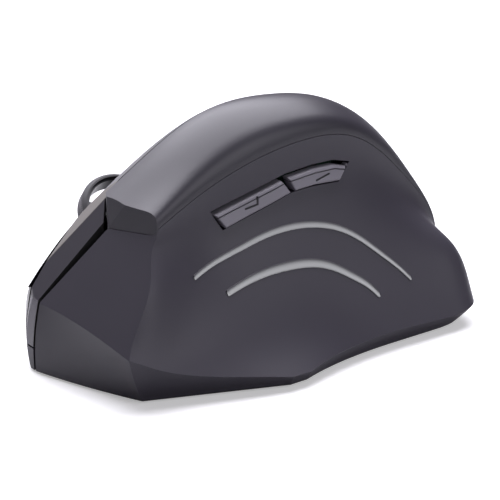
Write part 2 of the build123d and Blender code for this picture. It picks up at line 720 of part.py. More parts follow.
forward_button = side_button(forward_outline, forward_mark_shares)
back_button = side_button(back_outline, back_mark_shares)
forward_switch = tact_switch(forward_outline)
back_switch = tact_switch(back_outline)
board_outline = [side(p) for p in thumb_board_shares]
thumb_board = prism_across(board_outline, thumb_board_x, thumb_board_x + board_thickness)
frame = envelope(wall + seat) - envelope(wall + seat + thumb_frame_thickness)
frame &= prism_across([side(p) for p in thumb_frame_shares], -far, 0)
for y, z in map(side, thumb_post_shares):
    stay = Pos(thumb_board_x - half_width / 2, y, z) * Rot(0, 90, 0) * Cylinder(thumb_post_radius, half_width)
    frame += stay & envelope(wall + seat + thumb_frame_thickness / 2)
window_outline = forward_outline[:-1] + back_outline[1:] + back_outline[:1] + forward_outline[-1:]
window = prism_across(grown(window_outline, button_gap), -far, 0)
frame -= window
thumb_shell -= window & skin(wall, 2 * wall)
behind_board = prism_across([(-far, -far), (far, -far), (far, far), (-far, far)], thumb_board_x, far)
side_button_bracket = main_solid(frame - behind_board)

# Accent strips in their channels.
upper_line = [side(p) for p in upper_strip_shares]
lower_line = [side(p) for p in lower_strip_shares]
strip_skin = skin(strip_rise, strip_depth)
channel_skin = skin(wall, strip_depth)
upper_accent_strip = strip_skin & ribbon_prism(upper_line, upper_strip_width, strip_end_share)
lower_accent_strip = strip_skin & ribbon_prism(lower_line, lower_strip_width, strip_end_share)
thumb_shell -= channel_skin & ribbon_prism(upper_line, upper_strip_width + 2 * seat, strip_end_share)
thumb_shell -= channel_skin & ribbon_prism(lower_line, lower_strip_width + 2 * seat, strip_end_share)

# Bosses that the base screws bite into.
screw_low = foot_height + screw_head_height + screw_sink
thumb_places = [plan(p) for p in thumb_boss_shares]
palm_places = [plan(p) for p in palm_boss_shares]


def boss(place):
    pilot = post(screw_radius + seat, *place, foot_height, screw_low + screw_length + screw_radius)
    return (post(boss_radius, *place, base_top, height) & under_skin) - pilot


for place in thumb_places:
    thumb_shell += boss(place)
for place in palm_places:
    palm_shell += boss(place)

# Base plate.
board_x, board_y = plan(board_place_shares)
board_z = base_top + board_lift
cell_x, cell_y = plan(cell_place_shares)
receiver_x, receiver_y = plan(receiver_place_shares)
sensor_x, sensor_y = plan(sensor_place_shares)
power_x, power_y = plan(switch_place_shares)
base_plate = envelope(wall + rim_fit) & slab(foot_height, base_top)
post_x = board_width / 2 - board_post_inset
post_y = board_length / 2 - board_post_inset
board_posts = [(board_x + i * post_x, board_y + j * post_y) for i in (-1, 1) for j in (-1, 1)]
for place in board_posts:
    base_plate += post(post_radius, *place, foot_height + post_floor, board_z)
    base_plate -= post(board_screw_radius + seat, *place, foot_height + post_floor, far)
bay_size = [size + 2 * receiver_gap for size in receiver_size]
bay_top = foot_height + bay_sink + bay_size[2]
bay_long = receiver_length + 2 * receiver_gap
base_plate += block((bay_size[0] + 2 * bay_wall, bay_long + 2 * bay_wall, bay_top + bay_wall - base_top),
                    receiver_x, receiver_y, base_top)
base_plate -= block((bay_size[0], bay_long, bay_top), receiver_x, receiver_y, 0)
for place in thumb_places + palm_places:
    base_plate -= post(screw_radius + slide_fit, *place, 0, base_top)
    base_plate -= post(screw_head_radius + slide_fit, *place, 0, screw_low)
base_plate -= block((*aperture_size, base_top), sensor_x, sensor_y, 0)
knob_slot = (knob_size[0] + slide_fit, knob_size[1] + knob_travel + slide_fit, base_top)
base_plate -= block(knob_slot, power_x, power_y, 0)
door_recess = (door_width + 2 * slide_fit, door_length + door_slide + 2 * slide_fit,
               foot_height + door_thickness + seat)
base_plate -= block(door_recess, cell_x, cell_y + door_slide / 2, 0)
base_plate -= block((2 * cell_radius, cell_length, base_top), cell_x, cell_y, 0)
glides = []
for share, size in zip(glide_shares, glide_sizes):
    x, y = plan(share)
    pad = block((*size, glide_thickness), x, y, 0)
    radius = min(size) / 2 - seat
    glides.append(fillet(pad.edges().filter_by(Axis.Z), radius))
    pocket = block((size[0] + slide_fit, size[1] + slide_fit, glide_thickness), x, y, 0)
    base_plate -= fillet(pocket.edges().filter_by(Axis.Z), radius)
glide_feet = Compound(glides)


def screw(place, head_low, head, head_height, radius, length):
    pan = post(head, *place, head_low, head_low + head_height)
    slot = block((screw_slot, 2 * head, head_height / 2), *place, head_low)
    cross = block((2 * head, screw_slot, head_height / 2), *place, head_low)
    keep = post(head / 2, *place, head_low, head_low + head_height / 2)
    return pan - (slot & keep) - (cross & keep) + post(radius, *place, head_low + head_height,
                                                       head_low + head_height + length)


base_screws = Compound([screw(place, screw_low - screw_head_height, screw_head_radius, screw_head_height,
                              screw_radius, screw_length) for place in thumb_places + palm_places])

# Main board and what it carries.
board_face = board_z + board_thickness


def board_screw(place):
    head = post(board_screw_head, *place, board_face, board_face + board_screw_head_height)
    return head + post(board_screw_radius, *place, board_face - board_screw_length, board_face)


board_screws = Compound([board_screw(place) for place in board_posts])
main_board = block((board_width, board_length, board_thickness), board_x, board_y, board_z)
for place in board_posts:
    main_board -= post(board_screw_radius + slide_fit, *place, board_z, far)
board_window = [size - 2 * aperture_step for size in aperture_size]
main_board -= block((*board_window, far), sensor_x, sensor_y, board_z)
optical_sensor = block(sensor_size, sensor_x, sensor_y, board_face)
lens_body = block((*lens_size, lens_rise), sensor_x, sensor_y, base_top)
lens_eye = post(aperture_size[1] / 2 - slide_fit, sensor_x, sensor_y, base_top - base_thickness / 2, base_top)
sensor_lens = lens_body + lens_eye
controller_chip = block(chip_size, *plan(chip_place_shares), board_face)
radio_module = block(radio_size, *plan(radio_place_shares), board_face)
power_low = board_z - power_size[2]
power_switch = block(power_size, power_x, power_y, power_low)
knob_y = power_y - knob_travel / 2
power_knob = block((*knob_size, base_top + seat - foot_height - knob_recess), power_x, knob_y,
                   foot_height + knob_recess)
power_knob += block(knob_flange, power_x, knob_y, base_top + seat)

# Battery, its cradle and contacts.
cell_z = base_top + cell_gap + cell_radius
bay_length = cell_length + cell_nub_length + spring_length + contact_thickness + cell_gap
cradle = block((2 * (cell_radius + cell_gap + cradle_wall), bay_length + 2 * cradle_wall, cradle_height),
               cell_x, cell_y, base_top)
trough = Pos(cell_x, cell_y, cell_z) * Rot(90, 0, 0) * Cylinder(cell_radius + cell_gap, bay_length)
mouth = block((2 * (cell_radius + cell_gap), bay_length, cell_z), cell_x, cell_y, 0)
battery_cradle = cradle - trough - mouth
battery_cradle &= inner
cell_start = cell_y - bay_length / 2 + spring_length


def along_bay(shape, start, length):
    """Lay an upright shape of this length along the battery's axis, with its foot at start."""
    return Pos(cell_x, start + length / 2, cell_z) * Rot(-90, 0, 0) * shape


battery_cell = along_bay(Cylinder(cell_radius, cell_length), cell_start, cell_length)
battery_cell += along_bay(Cylinder(cell_nub_radius, cell_nub_length), cell_start + cell_length,
                          cell_nub_length)
battery_spring = along_bay(Cone(spring_radius, cell_nub_radius, spring_length),
                           cell_start - spring_length, spring_length)
contact_start = cell_start + cell_length + cell_nub_length
battery_contact = Pos(cell_x, contact_start + contact_thickness / 2, cell_z) * Box(
    contact_size, contact_thickness, contact_size)

# Battery door with a row of grip grooves.
door_low = foot_height + slide_fit / 2
battery_door = block((door_width, door_length, door_thickness - slide_fit / 2), cell_x, cell_y, door_low)
for i in range(grip_count):
    groove_y = cell_y + door_length / 2 - (i + 2) * grip_pitch
    battery_door -= block(grip_size, cell_x, groove_y, door_low)

# Receiver.
receiver_low = foot_height + slide_fit
usb_receiver = block((receiver_size[0], receiver_length - receiver_plug[1], receiver_size[2]), receiver_x,
                     receiver_y - receiver_plug[1] / 2, receiver_low)
usb_receiver += block(receiver_plug, receiver_x, receiver_y + receiver_length / 2 - receiver_plug[1] / 2,
                      receiver_low + (receiver_size[2] - receiver_plug[2]) / 2)

nodes = {
    "thumb_shell": thumb_shell, "crest_cover": crest_cover, "palm_shell": palm_shell,
    "centre_strip": centre_strip, "left_click_button": left_click_button,
    "right_click_button": right_click_button, "base_plate": base_plate, "glide_feet": glide_feet,
    "base_screws": base_screws, "board_screws": board_screws, "wheel_tyre": wheel_tyre,
    "wheel_hub": wheel_hub, "wheel_carrier": wheel_carrier, "wheel_encoder": wheel_encoder,
    "finger_board": finger_board, "finger_bracket": finger_bracket, "left_switch": left_switch,
    "right_switch": right_switch, "middle_switch": middle_switch, "dpi_switch": dpi_switch,
    "dpi_button": dpi_button, "forward_button": forward_button, "back_button": back_button,
    "forward_switch": forward_switch, "back_switch": back_switch, "thumb_board": thumb_board,
    "side_button_bracket": side_button_bracket, "upper_accent_strip": upper_accent_strip,
    "lower_accent_strip": lower_accent_strip, "main_board": main_board, "optical_sensor": optical_sensor,
    "sensor_lens": sensor_lens, "controller_chip": controller_chip, "radio_module": radio_module,
    "power_switch": power_switch, "power_knob": power_knob, "battery_cell": battery_cell,
    "battery_cradle": battery_cradle, "battery_spring": battery_spring,
    "battery_contact": battery_contact, "battery_door": battery_door, "usb_receiver": usb_receiver,
}

# The origin is the middle of the footprint box, on the desk.
whole = Compound([shape for node in nodes.values() for shape in node.solids()]).bounding_box()
home = Pos(-whole.center().X, -whole.center().Y, -whole.min.Z)
for name, node in nodes.items():
    solids = [home * solid for solid in node.solids()]
    export_step(solids[0] if len(solids) == 1 else Compound(solids), f"parts/{name}.step")
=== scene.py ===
from math import cos, pi, radians, sin

import bmesh
import bpy
import numpy as np
from mathutils import Matrix, Vector
from mathutils.bvhtree import BVHTree


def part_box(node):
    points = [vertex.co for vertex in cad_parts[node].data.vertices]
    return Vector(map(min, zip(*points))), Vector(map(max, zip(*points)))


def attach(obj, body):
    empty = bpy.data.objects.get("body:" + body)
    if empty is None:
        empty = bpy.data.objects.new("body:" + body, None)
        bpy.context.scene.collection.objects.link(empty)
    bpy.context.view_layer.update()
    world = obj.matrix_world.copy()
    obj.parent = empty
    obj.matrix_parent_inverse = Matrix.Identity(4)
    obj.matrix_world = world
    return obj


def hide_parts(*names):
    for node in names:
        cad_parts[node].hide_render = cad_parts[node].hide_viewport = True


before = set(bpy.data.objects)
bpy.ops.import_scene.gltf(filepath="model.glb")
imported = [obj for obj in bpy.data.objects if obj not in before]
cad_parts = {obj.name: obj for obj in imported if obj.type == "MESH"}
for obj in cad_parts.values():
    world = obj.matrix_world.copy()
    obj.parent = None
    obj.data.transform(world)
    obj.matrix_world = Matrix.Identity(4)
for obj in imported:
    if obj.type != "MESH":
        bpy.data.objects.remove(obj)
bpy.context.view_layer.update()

bl_info = {
    "name": "Vertical Mouse Finishes",
    "version": (1, 0, 0),
    "blender": (4, 5, 0),
    "location": "3D View > Sidebar > Mouse",
    "description": "Dresses the packed vertical mouse with its moulded finishes, wheel ribs and studio",
    "category": "Object",
}

# Camera, worked out from the photograph: its place in metres, and the angles in radians that it stands
# at, round the object and above it.
camera_place = Vector((-0.384102, 0.277189, 0.197209))
camera_azimuth = 4.0855667
camera_elevation = 0.34885993
camera_focal_pixels = 1829.44
camera_sensor_width = 36.0
camera_near, camera_far = 0.01, 20.0
photo_width_pixels = 500.0

# A metre in millimetres, for the small reliefs that are worked out in millimetres.
metre = 1000.0

# Sockets of a Mix node that mixes colours.
mix_factor, mix_first, mix_second, mix_result = 0, 6, 7, 2

# Moulded plastics: their refraction, and the size and relief of their grain in metres. The left panel,
# the keys and the strips have a finer grain, given by how many times it repeats in a metre.
plastic_refraction = 1.5
plastic_grain = 0.00022
plastic_grain_depth = 0.000006
fine_grain_scale = 4500.0
fine_grain_depth = 0.000005

# The value that a noise varies about.
noise_middle = 0.5

# Colours of the pieces that have no property of their own.
base_black = (0.022, 0.022, 0.025)
strip_black = (0.012, 0.012, 0.014)
dpi_grey = (0.07, 0.066, 0.078)
# Painted shade for the thumb keys' engraved mark and the groove under their bevel, where shade falls in the
# recess.
painted_groove_shade = (0.02, 0.019, 0.022)
tyre_black = (0.03, 0.029, 0.033)
hub_grey = (0.05, 0.048, 0.055)
rib_grey = (0.22, 0.214, 0.228)
board_green = (0.012, 0.06, 0.03)
switch_black = (0.02, 0.02, 0.021)
frame_black = (0.018, 0.018, 0.02)
chip_black = (0.012, 0.012, 0.013)
steel_grey = (0.56, 0.56, 0.57)
can_grey = (0.62, 0.62, 0.6)
lens_white = (0.9, 0.93, 0.95)
sleeve_blue = (0.05, 0.07, 0.14)
knob_grey = (0.12, 0.12, 0.125)
glide_black = (0.012, 0.012, 0.013)

# Slope of the finger side, which the wheel's axle follows.
finger_slope = radians(50.0)

# Scroll wheel ribs: depth, thickness round the tyre and width across it, in metres.
rib_size = (0.0005, 0.00032, 0.0036)

# Soft lamps: name, place and width in metres, and the stage property that holds the power.
lamp_tint = (0.94, 0.925, 1.0)
lamps = (("top_softbox", (0.36, -0.2, 0.9), 1.2, "top_power"),
         ("finger_softbox", (1.0, 0.15, 0.3), 1.2, "finger_power"),
         ("fill_softbox", (-0.9, -0.3, 0.5), 0.8, "fill_power"))


def rgba(colour):
    """A colour with full alpha, as a socket takes it."""
    return (*colour[:3], 1.0)


def scaled(colour, share):
    """A colour made darker or lighter."""
    return tuple(c * share for c in colour)


class Maths:
    """A shader socket that Python's operators build Math nodes on."""

    def __init__(self, shader, socket):
        self.shader = shader
        self.socket = socket

    def combine(self, operation, first, second=None):
        values = {0: first}
        if second is not None:
            values[1] = second
        return self.shader.node("ShaderNodeMath", {"operation": operation}, values).out("Value")

    def __add__(self, other):
        return self.combine("ADD", self, other)

    __radd__ = __add__

    def __sub__(self, other):
        return self.combine("SUBTRACT", self, other)

    def __rsub__(self, other):
        return self.combine("SUBTRACT", other, self)

    def __mul__(self, other):
        return self.combine("MULTIPLY", self, other)

    __rmul__ = __mul__

    def absolute(self):
        return self.combine("ABSOLUTE", self)

    def larger(self, other):
        return self.combine("MAXIMUM", self, other)

    def smooth(self, low, high):
        """From 0 at low to 1 at high, with a soft start and end."""
        settings = {"interpolation_type": "SMOOTHSTEP"}
        values = {"Value": self, "From Min": low, "From Max": high}
        return self.shader.node("ShaderNodeMapRange", settings, values).out("Result")


class Made:
    """A node that a Shader made, with its outputs by name or number."""

    def __init__(self, shader, node):
        self.shader = shader
        self.node = node

    def out(self, name):
        return Maths(self.shader, self.node.outputs[name])


class Shader:
    """Builds one material's nodes."""

    def __init__(self, name):
        self.material = bpy.data.materials.new(name)
        self.material.use_nodes = True
        self.tree = self.material.node_tree
        self.tree.nodes.clear()
        self.output = self.tree.nodes.new("ShaderNodeOutputMaterial")

    def node(self, kind, settings=None, values=None):
        """Adds a node: its settings come first, then the values or links of its sockets."""
        node = self.tree.nodes.new(kind)
        for key, value in (settings or {}).items():
            setattr(node, key, value)
        for key, value in (values or {}).items():
            if isinstance(value, Maths):
                self.tree.links.new(value.socket, node.inputs[key])
            else:
                node.inputs[key].default_value = value
        return Made(self, node)

    def coordinates(self):
        return self.node("ShaderNodeTexCoord").out("Object")

    def place(self, scale=(1.0, 1.0, 1.0)):
        """Object coordinates, scaled."""
        values = {"Vector": self.coordinates(), "Scale": scale}
        return self.node("ShaderNodeMapping", {"vector_type": "POINT"}, values).out("Vector")

    def noise(self, scale, detail=2.0, roughness=0.5, vector=None):
        values = {"Vector": vector or self.place(), "Scale": scale, "Detail": detail, "Roughness": roughness}
        return self.node("ShaderNodeTexNoise", {}, values).out("Fac")

    def mix(self, mask, first, second):
        """A colour from first to second as mask goes from 0 to 1."""
        values = {mix_factor: mask}
        for socket, value in ((mix_first, first), (mix_second, second)):
            values[socket] = value if isinstance(value, Maths) else rgba(value)
        return self.node("ShaderNodeMix", {"data_type": "RGBA"}, values).out(mix_result)

    def dot(self, vector, direction):
        """How far a place lies along a direction."""
        values = {0: vector, 1: direction}
        return self.node("ShaderNodeVectorMath", {"operation": "DOT_PRODUCT"}, values).out("Value")

    def bump(self, height, distance):
        return self.node("ShaderNodeBump", {}, {"Height": height, "Distance": distance}).out("Normal")

    def surface(self, **sockets):
        """The Principled surface. Socket names are given with underscores for their spaces."""
        values = {}
        for key, value in sockets.items():
            if key == "Base_Color" and not isinstance(value, Maths):
                value = rgba(value)
            values[key.replace("_", " ")] = value
        made = self.node("ShaderNodeBsdfPrincipled", {}, values)
        self.tree.links.new(made.node.outputs["BSDF"], self.output.inputs["Surface"])
        return self.material


def moulded(name, colour, roughness, grain=plastic_grain, depth=plastic_grain_depth):
    """Moulded plastic: a fine spark-eroded grain, with a faint drift of colour and gloss."""
    drift_scale = 38.0
    drift_tint = 0.12
    drift_weight, grain_weight = 0.6, 0.4
    drift_gloss, grain_gloss, gloss_lift = 0.04, 0.05, 0.03
    shader = Shader(name)
    fine = shader.noise(1.0 / grain, detail=3.0, roughness=0.6)
    broad = shader.noise(drift_scale)
    shade = shader.mix(broad * drift_weight + fine * grain_weight,
                       scaled(colour, 1.0 - drift_tint), scaled(colour, 1.0 + drift_tint))
    gloss = roughness - gloss_lift + broad * drift_gloss + (fine - noise_middle) * grain_gloss
    return shader.surface(Base_Color=shade, Roughness=gloss, IOR=plastic_refraction,
                          Normal=shader.bump(fine, depth))


def metal(name, colour, roughness):
    """Metal with fine lines along one way."""
    line_scale = 900.0
    line_stretch = (1.0, 1.0, 30.0)
    line_tint, line_gloss, line_depth = 0.85, 0.12, 0.000008
    shader = Shader(name)
    lines = shader.noise(line_scale, vector=shader.place(scale=line_stretch))
    shade = shader.mix(lines, scaled(colour, line_tint), colour)
    gloss = roughness + (lines - noise_middle) * line_gloss
    return shader.surface(Base_Color=shade, Roughness=gloss, Metallic=1.0,
                          Normal=shader.bump(lines, line_depth))


def circuit_board(name, colour):
    """Solder mask over a weave of copper tracks."""
    track_scale, weave_scale = 420.0, 1400.0
    track_weight, weave_weight = 0.8, 0.1
    track_depth = 0.00002
    copper_tint, copper_lift = 1.9, 0.02
    mask_gloss, weave_gloss = 0.32, 0.08
    shader = Shader(name)
    settings = {"offset": 0.37}
    values = {"Vector": shader.place(), "Scale": track_scale, "Mortar Size": 0.03, "Brick Width": 1.7,
              "Row Height": 0.31}
    tracks = shader.node("ShaderNodeTexBrick", settings, values).out("Fac")
    weave = shader.noise(weave_scale, detail=1.0)
    copper = tuple(min(1.0, c * copper_tint + copper_lift) for c in colour)
    shade = shader.mix(tracks * track_weight + weave * weave_weight, colour, copper)
    return shader.surface(Base_Color=shade, Roughness=mask_gloss + weave * weave_gloss,
                          Normal=shader.bump(tracks, track_depth))


def clear_lens(name):
    """Clear moulded acrylic, with a faint ripple in its polish."""
    ripple_scale = 160.0
    polish, ripple_gloss = 0.04, 0.03
    shader = Shader(name)
    ripple = shader.noise(ripple_scale)
    return shader.surface(Base_Color=lens_white, Roughness=polish + ripple * ripple_gloss, IOR=1.49,
                          Transmission_Weight=0.9)


def rubber(name, colour):
    """Soft matte rubber, smeared here and there by use."""
    grain_scale, smear_scale = 4200.0, 240.0
    grain_depth = 0.00001
    darker, lighter = 0.8, 1.25
    roughness, smear_gloss = 0.5, 0.15
    shader = Shader(name)
    fine = shader.noise(grain_scale, detail=3.0)
    smear = shader.noise(smear_scale)
    shade = shader.mix(smear, scaled(colour, darker), scaled(colour, lighter))
    return shader.surface(Base_Color=shade, Roughness=roughness + smear * smear_gloss,
                          Normal=shader.bump(fine, grain_depth))


def finish(material, *nodes):
    """Gives CAD nodes their material."""
    for node in nodes:
        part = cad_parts[node]
        if not part.material_slots:
            part.data.materials.append(material)
        for slot in part.material_slots:
            slot.link = "OBJECT"
            slot.material = material


def piece_from(mesh, name, body, material):
    """An added piece that rides on a body, with its material in a named slot."""
    piece = bpy.data.objects.new(name, mesh)
    bpy.context.scene.collection.objects.link(piece)
    mesh.materials.clear()
    mesh.materials.append(material)
    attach(piece, body)
    return piece


class NodeFace:
    """The outer face of a thumb side node, found along rays that come in from the thumb side."""

    # How far outside the node a ray starts, the unit of the fit's terms, and the step that finds a slope.
    ray_start = 0.01
    fit_unit = 0.01
    slope_step = 0.0001

    def __init__(self, node):
        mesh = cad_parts[node].data
        self.tree = BVHTree.FromPolygons([v.co for v in mesh.vertices], [p.vertices for p in mesh.polygons])
        self.low, self.high = (Vector(corner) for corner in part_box(node))
        self.middle = (self.low + self.high) / 2

    def hit(self, y, z):
        """Where a ray meets the face, or None where it passes by."""
        start = Vector((self.low.x - self.ray_start, y, z))
        place = self.tree.ray_cast(start, Vector((1, 0, 0)))[0]
        return None if place is None else place.x

    def terms(self, y, z):
        """The terms that the smooth sheet is a sum of."""
        a = (y - self.middle.y) / self.fit_unit
        b = (z - self.middle.z) / self.fit_unit
        return np.stack([a * 0 + 1, a, b, a * a, a * b, b * b, a ** 3, a * a * b], axis=-1)

    def fit(self, y, z):
        """Fits a smooth sheet through the face at these places."""
        found = [(py, pz, self.hit(py, pz)) for py, pz in zip(y.ravel(), z.ravel())]
        found = np.array([point for point in found if point[2] is not None])
        self.weights = np.linalg.lstsq(self.terms(found[:, 0], found[:, 1]), found[:, 2], rcond=None)[0]

    def raised(self, y, z, rise):
        """Points over the sheet, raised out of it by rise."""
        step = self.slope_step
        x = self.terms(y, z) @ self.weights
        slope_y = (self.terms(y + step, z) @ self.weights - x) / step
        slope_z = (self.terms(y, z + step) @ self.weights - x) / step
        normal = np.stack([-np.ones_like(x), slope_y, slope_z], axis=-1)
        normal /= np.linalg.norm(normal, axis=-1, keepdims=True)
        return np.stack([x, y, z], axis=-1) + normal * rise[..., None]


def ramp(values):
    """Values held between 0 and 1."""
    return np.clip(values, 0.0, 1.0)


def line_distance(y, z, line):
    """How far each point lies from a line of points, all of them seen from the side."""
    best = np.full(y.shape, np.inf)
    for (y0, z0), (y1, z1) in zip(line, line[1:]):
        dy, dz = y1 - y0, z1 - z0
        t = ramp(((y - y0) * dy + (z - z0) * dz) / (dy * dy + dz * dz))
        best = np.minimum(best, np.hypot(y - y0 - t * dy, z - z0 - t * dz))
    return best


def along_line(line, count):
    """Points along a line, evenly spaced by its length."""
    line = np.array(line)
    lengths = np.concatenate([[0.0], np.cumsum(np.hypot(*np.diff(line, axis=0).T))])
    places = np.linspace(0.0, lengths[-1], count)
    return np.stack([np.interp(places, lengths, line[:, axis]) for axis in (0, 1)], axis=-1)


def block_mesh(name, front, back_x, shade):
    """A mesh with a grid of points in front, sides straight back to back_x, and a flat back. The grid's
    shade values go to the attribute that the piece's material reads."""
    weld_gap = 0.000001
    sharp_angle = radians(50.0)
    rows, columns = front.shape[:2]
    points = [Vector(p) for p in front.reshape(-1, 3)]
    index = np.arange(rows * columns).reshape(rows, columns)
    faces = [(index[i, j], index[i + 1, j], index[i + 1, j + 1], index[i, j + 1])
             for i in range(rows - 1) for j in range(columns - 1)]
    rim = list(index[:, 0]) + list(index[-1, 1:]) + list(index[-2::-1, -1]) + list(index[0, -2:0:-1])
    start = len(points)
    points += [Vector((back_x, points[i].y, points[i].z)) for i in rim]
    count = len(rim)
    faces += [(rim[i], start + i, start + (i + 1) % count, rim[(i + 1) % count]) for i in range(count)]
    faces.append(tuple(start + i for i in range(count)))
    mesh = bpy.data.meshes.new(name)
    mesh.from_pydata(points, [], [tuple(int(i) for i in face) for face in faces])
    values = list(shade.ravel()) + [shade.ravel()[i] for i in rim]
    mesh.attributes.new("shade", "FLOAT", "POINT").data.foreach_set("value", values)
    work = bmesh.new()
    work.from_mesh(mesh)
    bmesh.ops.remove_doubles(work, verts=work.verts, dist=weld_gap)
    bmesh.ops.recalc_face_normals(work, faces=work.faces)
    work.to_mesh(mesh)
    work.free()
    mesh.shade_smooth()
    mesh.set_sharp_from_angle(angle=sharp_angle)
    return mesh


class MouseFinish(bpy.types.PropertyGroup):
    """Colours and gloss of the moulded surfaces."""

    shell_colour: bpy.props.FloatVectorProperty(
        name="Shell", description="Colour of the thumb and palm shells", subtype="COLOR", size=3,
        default=(0.035, 0.0315, 0.0445), min=0.0, max=1.0)
    crest_colour: bpy.props.FloatVectorProperty(
        name="Crest", description="Colour of the crest cover", subtype="COLOR", size=3,
        default=(0.029, 0.0265, 0.0365), min=0.0, max=1.0)
    shell_roughness: bpy.props.FloatProperty(
        name="Shell roughness", description="How satin the shells are", default=0.46, min=0.0, max=1.0)
    click_colour: bpy.props.FloatVectorProperty(
        name="Click panels", description="Colour of both click panels", subtype="COLOR", size=3,
        default=(0.04, 0.0365, 0.048), min=0.0, max=1.0)
    key_colour: bpy.props.FloatVectorProperty(
        name="Thumb keys", description="Colour of the two thumb keys", subtype="COLOR", size=3,
        default=(0.23, 0.22, 0.25), min=0.0, max=1.0)
    rib_count: bpy.props.IntProperty(
        name="Tyre ribs", description="How many ribs the scroll wheel's tyre has", default=116, min=8)
    accent_colour: bpy.props.FloatVectorProperty(
        name="Accent strips", description="Colour of the two inlaid strips", subtype="COLOR", size=3,
        default=(0.5, 0.515, 0.5), min=0.0, max=1.0)


class MouseStage(bpy.types.PropertyGroup):
    """Floor, lamps and background."""

    floor_size: bpy.props.FloatProperty(
        name="Floor", description="Width of the floor", default=6.0, min=0.5, subtype="DISTANCE",
        unit="LENGTH")
    top_power: bpy.props.FloatProperty(
        name="Top lamp", description="Power of the softbox over the ridge", default=22.5, min=0.0,
        subtype="POWER")
    finger_power: bpy.props.FloatProperty(
        name="Finger lamp", description="Power of the softbox beyond the finger side", default=6.5, min=0.0,
        subtype="POWER")
    fill_power: bpy.props.FloatProperty(
        name="Fill lamp", description="Power of the soft fill at the thumb side", default=3.3, min=0.0,
        subtype="POWER")
    room_light: bpy.props.FloatProperty(
        name="Room", description="Strength of the even light all round", default=0.14, min=0.0)


class MOUSE_OT_shells(bpy.types.Operator):
    """Finish the casing: thumb shell, crest cover, palm shell and base"""

    bl_idname = "mouse.shells"
    bl_label = "Shells"

    # How much smoother the crest cover is than the shells.
    crest_gloss = 0.06

    def execute(self, context):
        look = context.scene.mouse_finish
        crest_roughness = look.shell_roughness - self.crest_gloss
        base = moulded("base_matte", base_black, roughness=0.6, grain=0.0004, depth=0.000015)
        finish(moulded("shell_satin", look.shell_colour, look.shell_roughness), "thumb_shell", "palm_shell")
        finish(moulded("crest_satin", look.crest_colour, crest_roughness), "crest_cover")
        finish(base, "base_plate", "battery_door", "battery_cradle")
        return {"FINISHED"}


class MOUSE_OT_click_panels(bpy.types.Operator):
    """Finish both click panels and the strip between them"""

    bl_idname = "mouse.click_panels"
    bl_label = "Click panels"

    # The plane of the left panel's front bevel, by a point and its facing. Near it, the bevel's painted
    # highlight, a lighter colour where the edge catches light, fades out between these two distances.
    bevel_point = Vector((0.009535, 0.041065, 0.043758))
    bevel_facing = Vector((0.163, 0.713, 0.682)).normalized()
    bevel_reach = (0.00004, 0.00009)
    bevel_highlight_colour = (0.12, 0.106, 0.096)

    # The walls of the left panel's seam seen from above, from the nose to the ridge. They get painted shade,
    # near black, where shade falls in the gap. The painted shade fades out between these two distances, and
    # past the walls' ends between these two.
    seam_corners = ((0.0116, 0.0700), (0.0116, 0.05917), (0.00519, 0.04268), (0.00872, 0.03989))
    seam_reach = (0.00003, 0.00006)
    seam_fade = (0.0002, 0.0004)
    seam_shade_colour = (0.003, 0.003, 0.003)

    # The height where the panel turns into the nose, and how much lighter the nose is made by a painted
    # reflection of the white surroundings.
    nose_top = (0.0196, 0.0206)
    nose_reflection_lift = 2.2

    def execute(self, context):
        look = context.scene.mouse_finish
        finish(moulded("click_satin", look.click_colour, look.shell_roughness), "right_click_button")
        finish(self.rim_material(look.click_colour, look.shell_roughness), "left_click_button")
        finish(moulded("strip_gloss", strip_black, roughness=0.2, depth=0.000002), "centre_strip")
        finish(moulded("dpi_satin", dpi_grey, roughness=0.4), "dpi_button")
        return {"FINISHED"}

    def rim_material(self, colour, roughness):
        """The panel's plastic: a painted highlight on its front bevel, smoother and lightened by a painted
        reflection on the nose, and painted shade in its seam.
        """
        bevel_gloss, nose_gloss, seam_gloss, grain_gloss = 0.05, 0.22, 0.52, 0.05
        shader = Shader("click_rim")
        place = shader.coordinates()
        split = shader.node("ShaderNodeSeparateXYZ", {}, {"Vector": place})
        away = shader.dot(place, self.bevel_facing) - self.bevel_point.dot(self.bevel_facing)
        # Painted highlight: the front bevel is given a lighter colour where its edge catches light.
        rim = 1.0 - away.absolute().smooth(*self.bevel_reach)
        # Painted reflection: below this height the nose is lightened as if it reflects the white
        # surroundings.
        nose = 1.0 - split.out("Z").smooth(*self.nose_top)
        # Painted shade: the seam's walls are darkened nearly to black, where shade falls in the gap.
        seam = self.seam_mask(shader, place, split.out("Y"))
        fine = shader.noise(fine_grain_scale, detail=3.0, roughness=0.6)
        shade = shader.mix(rim, colour, self.bevel_highlight_colour)
        shade = shader.mix(nose, shade, scaled(colour, self.nose_reflection_lift))
        shade = shader.mix(seam, shade, self.seam_shade_colour)
        gloss = roughness - rim * bevel_gloss - nose * nose_gloss + seam * seam_gloss
        return shader.surface(Base_Color=shade, Roughness=gloss + (fine - noise_middle) * grain_gloss,
                              IOR=plastic_refraction, Normal=shader.bump(fine, plastic_grain_depth))

    def seam_mask(self, shader, place, ahead):
        """1 on the walls of the seam, where the painted shade goes, and 0 elsewhere."""
        inner, outer = self.seam_fade
        mask = None
        for (x0, y0), (x1, y1) in zip(self.seam_corners, self.seam_corners[1:]):
            across = Vector((y1 - y0, x0 - x1, 0.0)).normalized()
            away = shader.dot(place, across) - across.dot((x0, y0, 0.0))
            near = 1.0 - away.absolute().smooth(*self.seam_reach)
            near *= ahead.smooth(y1 - outer, y1 - inner) * (1.0 - ahead.smooth(y0 + inner, y0 + outer))
            mask = near if mask is None else mask.larger(near)
        return mask


